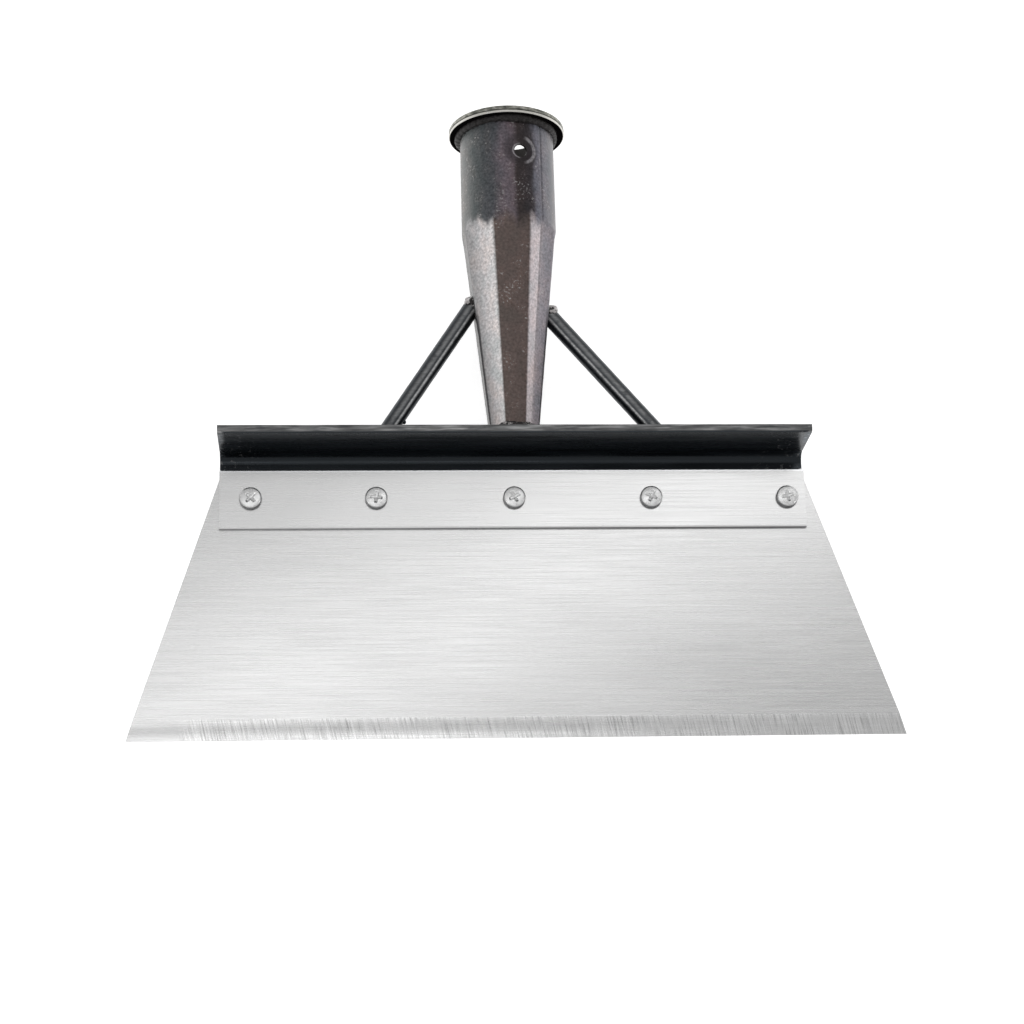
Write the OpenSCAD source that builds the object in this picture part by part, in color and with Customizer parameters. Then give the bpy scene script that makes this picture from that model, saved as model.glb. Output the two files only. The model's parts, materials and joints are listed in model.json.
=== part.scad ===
// Floor scraper head: a wide steel blade clamped to an angle bar, with a braced handle socket.
// It lies on its back, as it would on a bench, with the clamp screws' heads facing up.
// +X runs along the cutting edge, +Y runs from the blade to the handle, +Z is out of the blade.
// The origin is under the middle of the part, on the surface that it lies on.
// The blade lifts off when the five screws are undone. Everything behind it is welded.

/* [Blade] */
// Width of the blade along its cutting edge
blade_edge_w = 300; // [240:5:400]
// How far the blade's clamped end stops short of each end of the angle bar
blade_inset = 1; // [0:0.5:6]
// Length of the blade from its clamped end to the cutting edge
blade_len = 107.5; // [80:0.5:160]
// Thickness of the blade
blade_t = 2; // [1:0.25:3]
// Length of the ground bevel behind the cutting edge
bevel_len = 8; // [4:0.5:14]
// Thickness left at the cutting edge
edge_land = 0.3; // [0.1:0.1:0.8]

/* [Clamp plate] */
// Height of the clamp plate, across its row of screws
plate_h = 24; // [18:0.5:36]
// Thickness of the clamp plate
plate_t = 2; // [1.5:0.25:4]
// Broken edge along the two long sides of the clamp plate
plate_chamfer = 0.4; // [0.1:0.1:0.6]
// Bare flat left between the angle's root fillet and the clamp plate
plate_setback = 3.4; // [0:0.2:10]

/* [Angle bar] */
// Length of the angle bar and of the clamp plate
bar_len = 231; // [180:1:235]
// Height of the angle's standing leg, over the outside
upright_h = 30; // [25:1:45]
// Thickness of both legs of the angle
bar_t = 3; // [2:0.5:5]
// Fillet inside the corner of the angle
root_r = 4; // [1:0.5:6]
// Rounding of the inner edge at the end of each leg
toe_r = 1.5; // [0.5:0.1:1.8]
// Metal left between the row of screws and the edge of the flat leg
leg_margin = 7.6; // [6:0.2:14]

/* [Screws] */
// Number of clamp screws
screw_count = 5; // [3:1:7]
// Diameter of the screw's thread
screw_d = 5; // [4:1:6]
// Diameter of the screw's head
head_d = 8.7; // [7:0.1:11]
// Height of the screw's head
head_h = 2.5; // [2:0.1:4]
// Rounding of the head's upper edge
head_round = 0.8; // [0.2:0.1:1.2]
// Length of the cross recess over both arms
recess_len = 4.8; // [3:0.1:6]
// Width of each arm of the cross recess
recess_w = 1.1; // [0.8:0.1:1.6]
// Depth of the cross recess
recess_depth = 1.2; // [0.8:0.1:1.8]
// Length of screw that shows past the nut
screw_tail = 3.8; // [1:0.2:8]
// Gap round a screw in the holes that it passes through
hole_clear = 0.25; // [0.1:0.05:0.5]
// Distance from the bar's left end to the first screw
left_margin = 12.2; // [7:0.2:20]
// Distance from the bar's right end to the last screw
right_margin = 7.4; // [7:0.2:20]
// How much shorter the first gap between screws is than the others
first_gap_cut = 5.1; // [0:0.1:10]

/* [Nuts and washers] */
// Size of the nut across its flats
nut_af = 8; // [7:1:10]
// Height of the nut
nut_h = 4; // [3:0.2:6]
// Outside diameter of the spring washer
washer_d = 9.2; // [8:0.1:12]
// Thickness of the spring washer
washer_t = 1.2; // [0.8:0.1:1.8]
// Width of the split in the spring washer
washer_split = 0.8; // [0.4:0.1:1.2]
// Gap between the screw's thread and what turns on it
thread_clear = 0.05; // [0.02:0.01:0.1]

/* [Handle socket] */
// Length of the socket from the angle bar to its mouth
socket_len = 133; // [110:1:180]
// Length of the round part at the mouth
round_len = 45; // [30:1:60]
// Length over which the eight flats run out into the round part
run_out_len = 4; // [2:0.5:10]
// Outside diameter of the round part
socket_od = 38; // [32:0.5:46]
// Thickness of the socket's wall
socket_wall = 2; // [1.5:0.25:3]
// Size of the eight-sided foot across its flats
foot_af = 19; // [16:0.5:25]
// How far the ring stands out round the mouth
ring_overhang = 4.5; // [3:0.5:10]
// Thickness of the ring
ring_t = 3; // [2:0.5:5]
// Gap between the ring and the socket
ring_clear = 0.1; // [0.05:0.05:0.2]
// Width of the seam down the socket
seam_w = 0.5; // [0.2:0.1:1]
// Depth of the seam
seam_depth = 0.5; // [0.2:0.1:0.9]
// Turn of the seam round the socket from the top, to the right
seam_turn = 42; // [0:1:180]

/* [Fixing hole] */
// Diameter of the hole for the screw that holds the handle
fix_hole_d = 5.5; // [4:0.5:8]
// Distance of the hole from the mouth of the socket
fix_hole_back = 17.2; // [10:0.2:28]
// Turn of the hole round the socket from the top, to the right
fix_hole_turn = 14; // [-45:1:45]
// Diameter of the sunk seat round the hole
fix_seat_d = 10.4; // [9:0.2:14]
// Wall left as a plain hole under the sunk seat
fix_hole_land = 0.9; // [0.5:0.1:1.2]

/* [Braces] */
// Diameter of the round bar of the braces
brace_d = 7; // [5:0.5:9]
// Distance of the left brace's foot from the middle
left_foot_x = 51.6; // [40:0.2:90]
// Distance of the right brace's foot from the middle
right_foot_x = 58; // [40:0.2:90]
// Distance of the left brace's top from the angle bar
left_top_y = 55.8; // [40:0.2:70]
// Distance of the right brace's top from the angle bar
right_top_y = 52; // [40:0.2:70]

/* [Welds] */
// Size of the weld round the socket's foot
foot_weld = 3; // [2:0.2:4]
// Size of the weld under the ring
ring_weld_leg = 2.2; // [1:0.2:3]
// How far the weld at a brace's top stands past its square end
top_weld = 3; // [2:0.2:4]
// How far the weld at a brace's foot stands round its bar
brace_foot_weld = 2; // [1:0.1:3]

/* [Hidden] */
$fn = 96;
eps = 0.01;
cut = 1;

// Seat face of the angle is z = 0 and the back of its standing leg is y = 0 while pieces are made.
plate_top_y = -(bar_t + root_r + plate_setback);
screw_y = plate_top_y - plate_h / 2;
flat_leg_w = leg_margin - screw_y;
cutting_edge_y = plate_top_y - blade_len;
blade_clamped_w = bar_len - 2 * blade_inset;

// The screws stand evenly from the right, and the first gap on the left is shorter.
screw_gap = (bar_len - left_margin - right_margin + first_gap_cut) / (screw_count - 1);
last_screw_x = bar_len / 2 - right_margin;
screw_x = [for (i = [1:screw_count])
    i == 1 ? left_margin - bar_len / 2 : last_screw_x - (screw_count - i) * screw_gap];
head_seat_z = blade_t + plate_t;
screw_tip_z = -(bar_t + washer_t + nut_h + screw_tail);

// The socket stands at mid height on the angle's standing leg.
socket_r = socket_od / 2;
bore_r = socket_r - socket_wall;
axis_z = upright_h / 2 - bar_t;
ring_d = socket_od + 2 * ring_overhang;
taper_len = socket_len - round_len;
flats_len = taper_len - run_out_len;
// Hammering keeps the girth of the round part, which sets the width across the flats at their top.
top_af = PI * socket_od / (8 * tan(22.5));
taper_slope = (top_af - foot_af) / 2 / flats_len;
// The flats end this far outside the round part, so that no sliver of them is left on it.
run_out_past = 0.3;
// The bar that the flats are cut on stands this far outside their corners.
corner_spare = 0.2;
ring_weld_y = socket_len - ring_t;

// Half the width across the flats at a distance from the foot, up to the round part.
function flat_at(y) = y < flats_len
    ? foot_af / 2 + taper_slope * y
    : min(socket_r, top_af / 2 + (socket_r - top_af / 2) * (y - flats_len) / run_out_len);

// Everything is lifted and moved so that it lies on z = 0, centred on the origin.
lift = max(-screw_tip_z, ring_d / 2 - axis_z);
middle_y = (socket_len + cutting_edge_y) / 2;

module placed() {
    translate([0, -middle_y, lift]) children();
}

// Turns a shape made round z so that it lies along y, with its x to the right and its y down.
module along_socket() {
    translate([0, 0, axis_z]) rotate([-90, 0, 0]) children();
}

// A side outline drawn with y across and z up, carried along x and centred on it.
module along_bar(length) {
    rotate([90, 0, 90]) linear_extrude(height = length, center = true) children();
}

module screw_holes(z_low, z_high) {
    for (x = screw_x)
        translate([x, screw_y, z_low - cut])
            cylinder(d = screw_d + 2 * hole_clear, h = z_high - z_low + 2 * cut);
}

// The blade is a flat trapezium with one long bevel ground into its upper face.
module blade() {
    color("gainsboro") placed() difference() {
        intersection() {
            linear_extrude(height = blade_t)
                polygon([
                    [-blade_clamped_w / 2, plate_top_y], [blade_clamped_w / 2, plate_top_y],
                    [blade_edge_w / 2, cutting_edge_y], [-blade_edge_w / 2, cutting_edge_y]
                ]);
            along_bar(blade_edge_w + 2 * cut)
                polygon([
                    [plate_top_y + cut, 0], [plate_top_y + cut, blade_t],
                    [cutting_edge_y + bevel_len, blade_t], [cutting_edge_y, edge_land],
                    [cutting_edge_y, 0]
                ]);
        }
        screw_holes(0, blade_t);
    }
}

// The clamp plate is flat bar with its two long upper edges broken.
module clamp_plate() {
    top_z = blade_t + plate_t;
    low_y = plate_top_y - plate_h;
    color("silver") placed() difference() {
        along_bar(bar_len)
            polygon([
                [plate_top_y, blade_t], [plate_top_y, top_z - plate_chamfer],
                [plate_top_y - plate_chamfer, top_z], [low_y + plate_chamfer, top_z],
                [low_y, top_z - plate_chamfer], [low_y, blade_t]
            ]);
        screw_holes(blade_t, top_z);
    }
}

// One leg of the angle seen from its end, with the rounding on the upper side of its tip.
module leg_outline(length) {
    square([length - toe_r, bar_t]);
    square([length, bar_t - toe_r]);
    translate([length - toe_r, bar_t - toe_r]) circle(r = toe_r);
}

// Rolled angle: two legs, a fillet in the root and rounded toes.
module angle_bar() {
    color([0.12, 0.12, 0.13]) placed() difference() {
        along_bar(bar_len) translate([0, -bar_t]) {
            mirror([1, 0]) leg_outline(flat_leg_w);
            rotate(90) leg_outline(upright_h);
            translate([-bar_t - root_r, bar_t]) difference() {
                square(root_r);
                translate([0, root_r]) circle(r = root_r);
            }
        }
        screw_holes(-bar_t, 0);
    }
}

// What the eight flats take off a round bar, at a depth inside the socket's outer face.
module eight_flats(inset) {
    low = -2 * cut;
    far = 2 * socket_r;
    for (i = [0:7])
        rotate([0, 0, 45 * i]) rotate([90, 0, 0]) linear_extrude(height = far, center = true)
            polygon([
                [flat_at(low) - inset, low], [top_af / 2 - inset, flats_len],
                [socket_r + run_out_past - inset, taper_len], [far, taper_len], [far, low]
            ]);
}

// The socket's form at a depth inside its outer face: round at the mouth, eight-sided at the foot.
module socket_form(inset, low, high) {
    round_r = socket_r - inset;
    corner_r = (top_af / 2 - inset) / cos(22.5) + corner_spare;
    difference() {
        union() {
            translate([0, 0, low]) cylinder(r = corner_r, h = flats_len - low);
            translate([0, 0, flats_len]) cylinder(r1 = corner_r, r2 = round_r, h = run_out_len);
            translate([0, 0, taper_len]) cylinder(r = round_r, h = high - taper_len);
        }
        eight_flats(inset);
    }
}

// The outside of the socket as a solid, which the welds and braces are cut to.
module socket_envelope() {
    along_socket() socket_form(0, -cut, socket_len + cut);
}

// Seam where the edges of the rolled sheet meet, a shallow groove from the mouth to the foot.
module seam() {
    along_socket() rotate([0, 0, seam_turn - 90]) rotate([90, 0, 0])
        linear_extrude(height = seam_w, center = true)
            polygon([
                [flat_at(-cut) - seam_depth, -cut], [flat_at(flats_len) - seam_depth, flats_len],
                [socket_r - seam_depth, taper_len], [socket_r - seam_depth, socket_len + cut],
                [2 * socket_r, socket_len + cut], [2 * socket_r, -cut]
            ]);
}

// Hole for the handle's fixing screw, with a cone sunk into the wall round it.
module fixing_hole() {
    land_r = bore_r + fix_hole_land;
    cone_rise = socket_r - land_r;
    cone_spread = (fix_seat_d - fix_hole_d) / cone_rise;
    along_socket() translate([0, 0, socket_len - fix_hole_back])
        rotate([0, 0, fix_hole_turn]) rotate([90, 0, 0]) {
            cylinder(d = fix_hole_d, h = 2 * socket_r);
            translate([0, 0, land_r])
                cylinder(d1 = fix_hole_d, d2 = fix_seat_d + cone_spread * cut, h = cone_rise + cut);
        }
}

// The socket is rolled from sheet: round at the mouth, and hammered to eight flats at the foot.
module socket_tube() {
    color([0.35, 0.33, 0.32]) placed() difference() {
        along_socket() difference() {
            socket_form(0, 0, socket_len);
            socket_form(socket_wall, -cut, socket_len + cut);
        }
        seam();
        fixing_hole();
    }
}

module socket_ring() {
    color([0.5, 0.5, 0.48]) placed() along_socket() translate([0, 0, ring_weld_y]) difference() {
        cylinder(d = ring_d, h = ring_t);
        translate([0, 0, -cut]) cylinder(r = socket_r + ring_clear, h = ring_t + 2 * cut);
    }
}

// Fillet weld between the ring's underside and the socket.
module ring_weld() {
    color("dimgray") placed() along_socket() translate([0, 0, ring_weld_y]) rotate_extrude()
        polygon([
            [socket_r, 0], [socket_r + ring_weld_leg, 0], [socket_r, -ring_weld_leg]
        ]);
}

// Bead run round the foot of the socket, against the back of the angle.
module socket_weld() {
    color("dimgray") placed() intersection() {
        difference() {
            along_socket() rotate_extrude() translate([foot_af / 2 + eps, 0]) circle(r = foot_weld);
            socket_envelope();
        }
        back_of_angle();
    }
}

// The space behind the angle's standing leg, where the welds and braces may be.
module back_of_angle() {
    translate([-bar_len / 2, 0, -bar_t]) cube([bar_len, socket_len, upright_h]);
}

function brace_top(side) = let (y = side < 0 ? left_top_y : right_top_y) [side * flat_at(y), y, axis_z];
function brace_foot(side) = [side * (side < 0 ? left_foot_x : right_foot_x), 0, axis_z];

// Turns a shape made round z so that it lies along a brace, with z = 0 at the brace's top.
module along_brace(side) {
    top = brace_top(side);
    run = brace_foot(side) - top;
    translate(top) rotate([-90, 0, -atan2(run.x, run.y)]) children();
}

// Round bar from the angle to the side of the socket, cut square at its top end.
module brace_bar(side) {
    reach = norm(brace_foot(side) - brace_top(side)) + 2 * brace_d;
    along_brace(side) cylinder(d = brace_d, h = reach);
}

module brace(side) {
    color([0.1, 0.1, 0.1]) placed() intersection() {
        difference() {
            brace_bar(side);
            socket_envelope();
        }
        back_of_angle();
    }
}

// Cap of weld that tapers from a brace's square end to the side of the socket.
module brace_top_weld(side) {
    color("dimgray") placed() difference() {
        along_brace(side) translate([0, 0, -top_weld])
            cylinder(d1 = brace_d - top_weld, d2 = brace_d, h = top_weld);
        socket_envelope();
    }
}

// Collar of weld that joins a brace's foot to the angle.
module brace_foot_bead(side) {
    color("dimgray") placed() intersection() {
        difference() {
            translate(brace_foot(side)) sphere(d = brace_d + 2 * brace_foot_weld);
            brace_bar(side);
        }
        back_of_angle();
    }
}

// Low round head with a rounded edge, made round z with its underside on z = 0.
module screw_head() {
    rotate_extrude() {
        square([head_d / 2, head_h - head_round]);
        square([head_d / 2 - head_round, head_h]);
        translate([head_d / 2 - head_round, head_h - head_round]) intersection() {
            circle(r = head_round);
            square(head_round);
        }
    }
}

// The cross recess of each screw stopped at its own angle when it was tightened.
function recess_turn(i) = 37 * i + 8;

module screw(i) {
    tail = head_seat_z - screw_tip_z;
    point = screw_d / 8;
    color("silver") placed() translate([screw_x[i - 1], screw_y, head_seat_z]) difference() {
        union() {
            screw_head();
            translate([0, 0, point - tail]) cylinder(d = screw_d, h = tail - point);
            translate([0, 0, -tail]) cylinder(d1 = screw_d - 2 * point, d2 = screw_d, h = point);
        }
        translate([0, 0, head_h - recess_depth]) rotate([0, 0, recess_turn(i)])
            linear_extrude(height = recess_depth + cut) {
                square([recess_len, recess_w], center = true);
                square([recess_w, recess_len], center = true);
            }
    }
}

// Split spring washer, pressed flat under the nut.
module lock_washer(i) {
    color("darkgray") placed() translate([screw_x[i - 1], screw_y, -bar_t - washer_t]) difference() {
        cylinder(d = washer_d, h = washer_t);
        translate([0, 0, -cut]) cylinder(r = screw_d / 2 + hole_clear, h = washer_t + 2 * cut);
        rotate([0, 0, recess_turn(i)]) translate([0, -washer_split / 2, -cut])
            cube([washer_d, washer_split, washer_t + 2 * cut]);
    }
}

// Hexagon nut with its outer corners turned off.
module nut(i) {
    corner_r = nut_af / 2 / cos(30);
    color("silver") placed() translate([screw_x[i - 1], screw_y, -bar_t - washer_t - nut_h])
        rotate([0, 0, recess_turn(i)]) difference() {
            intersection() {
                cylinder(r = corner_r, h = nut_h, $fn = 6);
                union() {
                    cylinder(r1 = nut_af / 2, r2 = nut_af / 2 + nut_h / 2, h = nut_h / 2);
                    translate([0, 0, nut_h / 2])
                        cylinder(r2 = nut_af / 2, r1 = nut_af / 2 + nut_h / 2, h = nut_h / 2);
                }
            }
            translate([0, 0, -cut]) cylinder(r = screw_d / 2 + thread_clear, h = nut_h + 2 * cut);
        }
}

blade();
clamp_plate();
angle_bar();
socket_tube();
socket_ring();
brace(-1);  // left_brace
brace(1);  // right_brace
socket_weld();
ring_weld();
brace_top_weld(-1);  // left_brace_top_weld
brace_top_weld(1);  // right_brace_top_weld
brace_foot_bead(-1);  // left_brace_foot_weld
brace_foot_bead(1);  // right_brace_foot_weld
for (i = [1:screw_count]) {
    screw(i);
    lock_washer(i);
    nut(i);
}
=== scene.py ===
import json
import math

import bmesh
import bpy
import numpy as np
from mathutils import Matrix, Vector


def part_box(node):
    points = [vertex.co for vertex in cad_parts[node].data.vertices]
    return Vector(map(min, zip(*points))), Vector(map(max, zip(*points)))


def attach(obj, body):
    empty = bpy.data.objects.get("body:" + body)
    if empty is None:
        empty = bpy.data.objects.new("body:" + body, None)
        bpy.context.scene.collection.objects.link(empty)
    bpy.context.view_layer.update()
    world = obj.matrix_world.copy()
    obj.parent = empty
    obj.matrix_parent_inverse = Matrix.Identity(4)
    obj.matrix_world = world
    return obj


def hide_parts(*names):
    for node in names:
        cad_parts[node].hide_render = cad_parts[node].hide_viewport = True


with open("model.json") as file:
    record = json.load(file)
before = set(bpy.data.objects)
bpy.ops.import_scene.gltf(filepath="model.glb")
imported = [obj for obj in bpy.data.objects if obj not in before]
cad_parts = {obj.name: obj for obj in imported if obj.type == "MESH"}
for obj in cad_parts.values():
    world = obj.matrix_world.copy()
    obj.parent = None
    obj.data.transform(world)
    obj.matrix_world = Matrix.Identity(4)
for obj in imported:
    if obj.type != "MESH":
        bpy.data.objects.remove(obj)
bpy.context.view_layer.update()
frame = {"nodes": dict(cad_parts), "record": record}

scene = bpy.context.scene
scene.view_settings.view_transform = "Standard"


# ---- Camera ------------------------------------------------------------------------------------
# It looks down on the flat of the blade from the side of the cutting edge, as someone with the
# tool on a bench would, and it leans a little to one side.
aim = Vector((0, -0.0305, 0))
camera_distance = 0.9997
tilt, turn, lean = math.radians(17.97), math.radians(4.14), math.radians(1.52)

camera_data = bpy.data.cameras.new("camera")
camera_data.lens = 88.07
camera = bpy.data.objects.new("camera", camera_data)
scene.collection.objects.link(camera)
facing = Matrix.Rotation(-turn, 4, "Y") @ Matrix.Rotation(tilt, 4, "X") @ Matrix.Rotation(-lean, 4, "Z")
camera.matrix_world = Matrix.Translation(aim) @ facing @ Matrix.Translation((0, 0, camera_distance))
scene.camera = camera


# ---- Blade -------------------------------------------------------------------------------------
# A flared sheet of stainless steel, laser cut and brushed lengthways. Its long bevel is ground on
# afterwards, across the edge, and its edges are only deburred.
blade_edge_radius = 0.00012
bevel_length = 0.008
plain_end, plain_end_fade = 0.019, 0.003


def dressed_copy(node, edge_radius, crease=90.0):
    """The CAD node's own shape, with its triangles welded and flat faces joined. Each edge over
    35 degrees is rounded to a radius, one between crease and 35 degrees stays a crisp line, and
    the rest are smooth, with the wide faces' own normals kept."""
    rounded_from = math.radians(35)
    cad = frame["nodes"][node].data
    cad.calc_loop_triangles()
    points = np.empty(3 * len(cad.vertices), np.float32)
    corners = np.empty(3 * len(cad.loop_triangles), np.int32)
    cad.vertices.foreach_get("co", points)
    cad.loop_triangles.foreach_get("vertices", corners)
    mesh = bpy.data.meshes.new(node + "_dressed")
    mesh.from_pydata(points.reshape(-1, 3).tolist(), [], corners.reshape(-1, 3).tolist())
    shape = bmesh.new()
    shape.from_mesh(mesh)
    bmesh.ops.remove_doubles(shape, verts=shape.verts, dist=1e-6)
    bmesh.ops.dissolve_limit(
        shape, angle_limit=math.radians(0.5), verts=shape.verts, edges=shape.edges)
    for edge in shape.edges:
        edge.smooth = not math.radians(crease) < edge.calc_face_angle(0) < rounded_from
    for face in shape.faces:
        face.smooth = True
    shape.to_mesh(mesh)
    shape.free()
    piece = bpy.data.objects.new(mesh.name, mesh)
    scene.collection.objects.link(piece)
    rounding = piece.modifiers.new("edges", "BEVEL")
    rounding.width = edge_radius
    rounding.segments = 3
    rounding.limit_method = "ANGLE"
    rounding.angle_limit = rounded_from
    normals = piece.modifiers.new("flat_faces", "WEIGHTED_NORMAL")
    normals.keep_sharp = True
    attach(piece, "root")
    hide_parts(node)
    return piece


def new_finish(name, **shader_values):
    """A material's tree, its shader and its object coordinates. Underscores stand for spaces in
    the names of the shader's sockets."""
    material = bpy.data.materials.new(name)
    material.use_nodes = True
    tree = material.node_tree
    shader = tree.nodes["Principled BSDF"]
    for socket, value in shader_values.items():
        shader.inputs[socket.replace("_", " ")].default_value = value
    return material, tree, shader, add_node(tree, "TexCoord").outputs["Object"]


def add_node(tree, kind, sockets=None, **settings):
    """A shader node with its settings, and a value or a link for each named socket."""
    node = tree.nodes.new("ShaderNode" + kind)
    for key, value in settings.items():
        setattr(node, key, value)
    for key, value in (sockets or {}).items():
        if isinstance(value, bpy.types.NodeSocket):
            tree.links.new(value, node.inputs[key])
        else:
            node.inputs[key].default_value = value
    return node


def grain(tree, place, size, turn=0.0, detail=3.0):
    """Noise from 0 to 1 whose grains have this size in metres along each axis, once the pattern
    has been turned about Z."""
    grid = add_node(tree, "Mapping", {"Vector": place, "Scale": size, "Rotation": (0, 0, turn)},
                    vector_type="TEXTURE")
    noise = {"Vector": grid.outputs[0], "Scale": 1.0, "Detail": detail}
    return add_node(tree, "TexNoise", noise).outputs[0]


def span(tree, value, low, high, out_low=0.0, out_high=1.0):
    """value carried smoothly from low..high to out_low..out_high, and held at the ends."""
    return add_node(
        tree, "MapRange", {"Value": value, "From Min": low, "From Max": high,
                           "To Min": out_low, "To Max": out_high},
        interpolation_type="SMOOTHSTEP").outputs[0]


def maths(tree, operation, a, b=0.0):
    """One sum of two values or links."""
    return add_node(tree, "Math", {0: a, 1: b}, operation=operation).outputs[0]


def tones(tree, value, stops):
    """A colour that runs through (position, colour or grey) stops as value goes from 0 to 1."""
    node = add_node(tree, "ValToRGB", {"Fac": value})
    while len(node.color_ramp.elements) < len(stops):
        node.color_ramp.elements.new(0.5)
    for element, (position, colour) in zip(node.color_ramp.elements, stops):
        element.position = position
        element.color = (*(colour if isinstance(colour, tuple) else (colour,) * 3), 1)
    return node.outputs["Color"]


def blend(tree, amount, first, second, how="MIX"):
    """Two colours mixed or multiplied by an amount from 0 to 1."""
    node = add_node(tree, "Mix", {0: amount, 6: first, 7: second}, data_type="RGBA", blend_type=how)
    return node.outputs[2]


def bump(tree, shader, height, strength, depth):
    """Joins a height from 0 to 1 to the shader as relief of this depth in metres."""
    relief = add_node(tree, "Bump", {"Height": height, "Strength": strength, "Distance": depth})
    tree.links.new(relief.outputs[0], shader.inputs["Normal"])


blade = dressed_copy("blade", blade_edge_radius, crease=5)
blade_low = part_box("blade")[0]
bevel_start = blade_low.y + bevel_length

material, tree, shader, place = new_finish("brushed_stainless", Metallic=1.0)
y = add_node(tree, "SeparateXYZ", {0: place}).outputs["Y"]
on_bevel = span(tree, y, bevel_start + 0.0001, bevel_start - 0.0001)
fine_lines = grain(tree, place, (0.030, 0.00045, 1))
streaks = grain(tree, place, (0.055, 0.0014, 1), detail=2.0)
clouds = grain(tree, place, (0.09, 0.03, 1), detail=1.0)
flat_tone = tones(tree, clouds, [(0.3, 0.75), (0.7, 0.80)])
flat_tone = blend(tree, 1.0, flat_tone, tones(tree, fine_lines, [(0.28, 0.91), (0.72, 1.0)]), "MULTIPLY")
flat_tone = blend(tree, 1.0, flat_tone, tones(tree, streaks, [(0.30, 0.93), (0.70, 1.0)]), "MULTIPLY")
scratches = grain(tree, place, (0.0005, 0.012, 1), turn=math.radians(14))
nicks = grain(tree, place, (0.0016, 0.010, 1), turn=math.radians(18), detail=1.0)
x = add_node(tree, "SeparateXYZ", {0: place}).outputs["X"]
plain_from = blade_low.x + plain_end
plain_corner = span(tree, x, plain_from, plain_from + plain_end_fade)
bevel_tone = tones(tree, scratches, [(0.30, 0.50), (0.46, 0.70), (0.70, 0.84)])
bevel_tone = blend(tree, 1.0, bevel_tone, tones(tree, nicks, [(0.26, 0.78), (0.36, 1.0)]), "MULTIPLY")
bevel_tone = blend(tree, plain_corner, (0.70, 0.70, 0.70, 1), bevel_tone)
tree.links.new(blend(tree, on_bevel, flat_tone, bevel_tone), shader.inputs["Base Color"])
tree.links.new(span(tree, fine_lines, 0.3, 0.7, 0.22, 0.29), shader.inputs["Roughness"])
relief = maths(tree, "ADD", fine_lines, maths(tree, "MULTIPLY", scratches, on_bevel))
bump(tree, shader, relief, 0.25, 0.00003)
blade.data.materials.append(material)


# ---- Clamp plate -------------------------------------------------------------------------------
# Flat bar of the same stainless steel, with a finer brushed face and its long edges broken. A
# painted highlight runs along its upper edge, and its side faces carry painted shade.
plate_edge_radius = 0.00015
bright_edge = 0.0014

plate = dressed_copy("clamp_plate", plate_edge_radius, crease=5)
plate_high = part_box("clamp_plate")[1]
material, tree, shader, place = new_finish("fine_brushed_stainless", Metallic=1.0)
y = add_node(tree, "SeparateXYZ", {0: place}).outputs["Y"]
fine_lines = grain(tree, place, (0.045, 0.0006, 1))
clouds = grain(tree, place, (0.05, 0.02, 1), detail=1.0)
tone = tones(tree, clouds, [(0.3, 0.74), (0.7, 0.79)])
tone = blend(tree, 1.0, tone, tones(tree, fine_lines, [(0.28, 0.96), (0.72, 1.0)]), "MULTIPLY")
# Painted highlight: a bright band along the plate's upper edge.
painted_highlight_shape = span(tree, y, plate_high.y - bright_edge, plate_high.y - bright_edge / 2)
tone = blend(tree, painted_highlight_shape, tone, (0.95, 0.96, 0.97, 1))
# Painted shade on the plate's side faces.
z = add_node(tree, "SeparateXYZ", {0: place}).outputs["Z"]
on_side = span(tree, z, plate_high.z - 0.0003, plate_high.z - 0.0007)
tree.links.new(blend(tree, on_side, tone, (0.20, 0.20, 0.205, 1)), shader.inputs["Base Color"])
tree.links.new(span(tree, fine_lines, 0.3, 0.7, 0.23, 0.28), shader.inputs["Roughness"])
bump(tree, shader, fine_lines, 0.15, 0.00002)
plate.data.materials.append(material)


# ---- Angle bar ---------------------------------------------------------------------------------
# Hot-rolled angle with black paint brushed on. The paint is worn to grey steel along the free
# edge of the standing leg and at the sawn ends, where the tool is set down and knocked.
paint_edge_radius = 0.0003
worn_strip = 0.0006
worn_end = 0.0030
worn_end_bottom = 0.024
scuffed_end, scuffed_most = 0.022, 0.004

angle = dressed_copy("angle_bar", paint_edge_radius)
angle_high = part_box("angle_bar")[1]


def black_paint(name, wear_and_highlights, steel_and_highlight_tones):
    """Black paint over steel: orange peel, dust and brush marks, and three tones where the given mask
    goes from 0 to 1, which are bare steel where the angle's paint is worn and painted highlights
    along the braces."""
    material, tree, shader, place = new_finish(name, Specular_IOR_Level=0.45,
                                               Specular_Tint=(0.80, 0.90, 1.0, 1))
    peel = grain(tree, place, (0.0009, 0.0009, 0.0009), detail=2.0)
    dust = grain(tree, place, (0.0007, 0.0007, 0.0007), detail=4.0)
    marks = grain(tree, place, (0.03, 0.003, 0.003), detail=3.0)
    paint = tones(tree, marks, [(0.3, (0.0030, 0.0036, 0.0044)), (0.7, (0.0060, 0.0075, 0.0090))])
    paint = blend(tree, span(tree, dust, 0.68, 0.78, 0, 0.25), paint, (0.06, 0.065, 0.07, 1))
    streaks = grain(tree, place, (0.012, 0.0007, 0.0007), detail=4.0)
    steel = tones(tree, streaks, list(zip((0.3, 0.52, 0.72), steel_and_highlight_tones)))
    # Worn paint on the angle; on the braces this mask is painted highlights.
    worn = wear_and_highlights(tree, place)
    tree.links.new(blend(tree, worn, paint, steel), shader.inputs["Base Color"])
    tree.links.new(maths(tree, "MULTIPLY", worn, 0.8), shader.inputs["Metallic"])
    gloss = span(tree, marks, 0.3, 0.7, 0.20, 0.32)
    gloss = maths(tree, "ADD", gloss, maths(tree, "MULTIPLY", worn, 0.25))
    tree.links.new(gloss, shader.inputs["Roughness"])
    bump(tree, shader, peel, 0.25, 0.00004)
    return material


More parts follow.
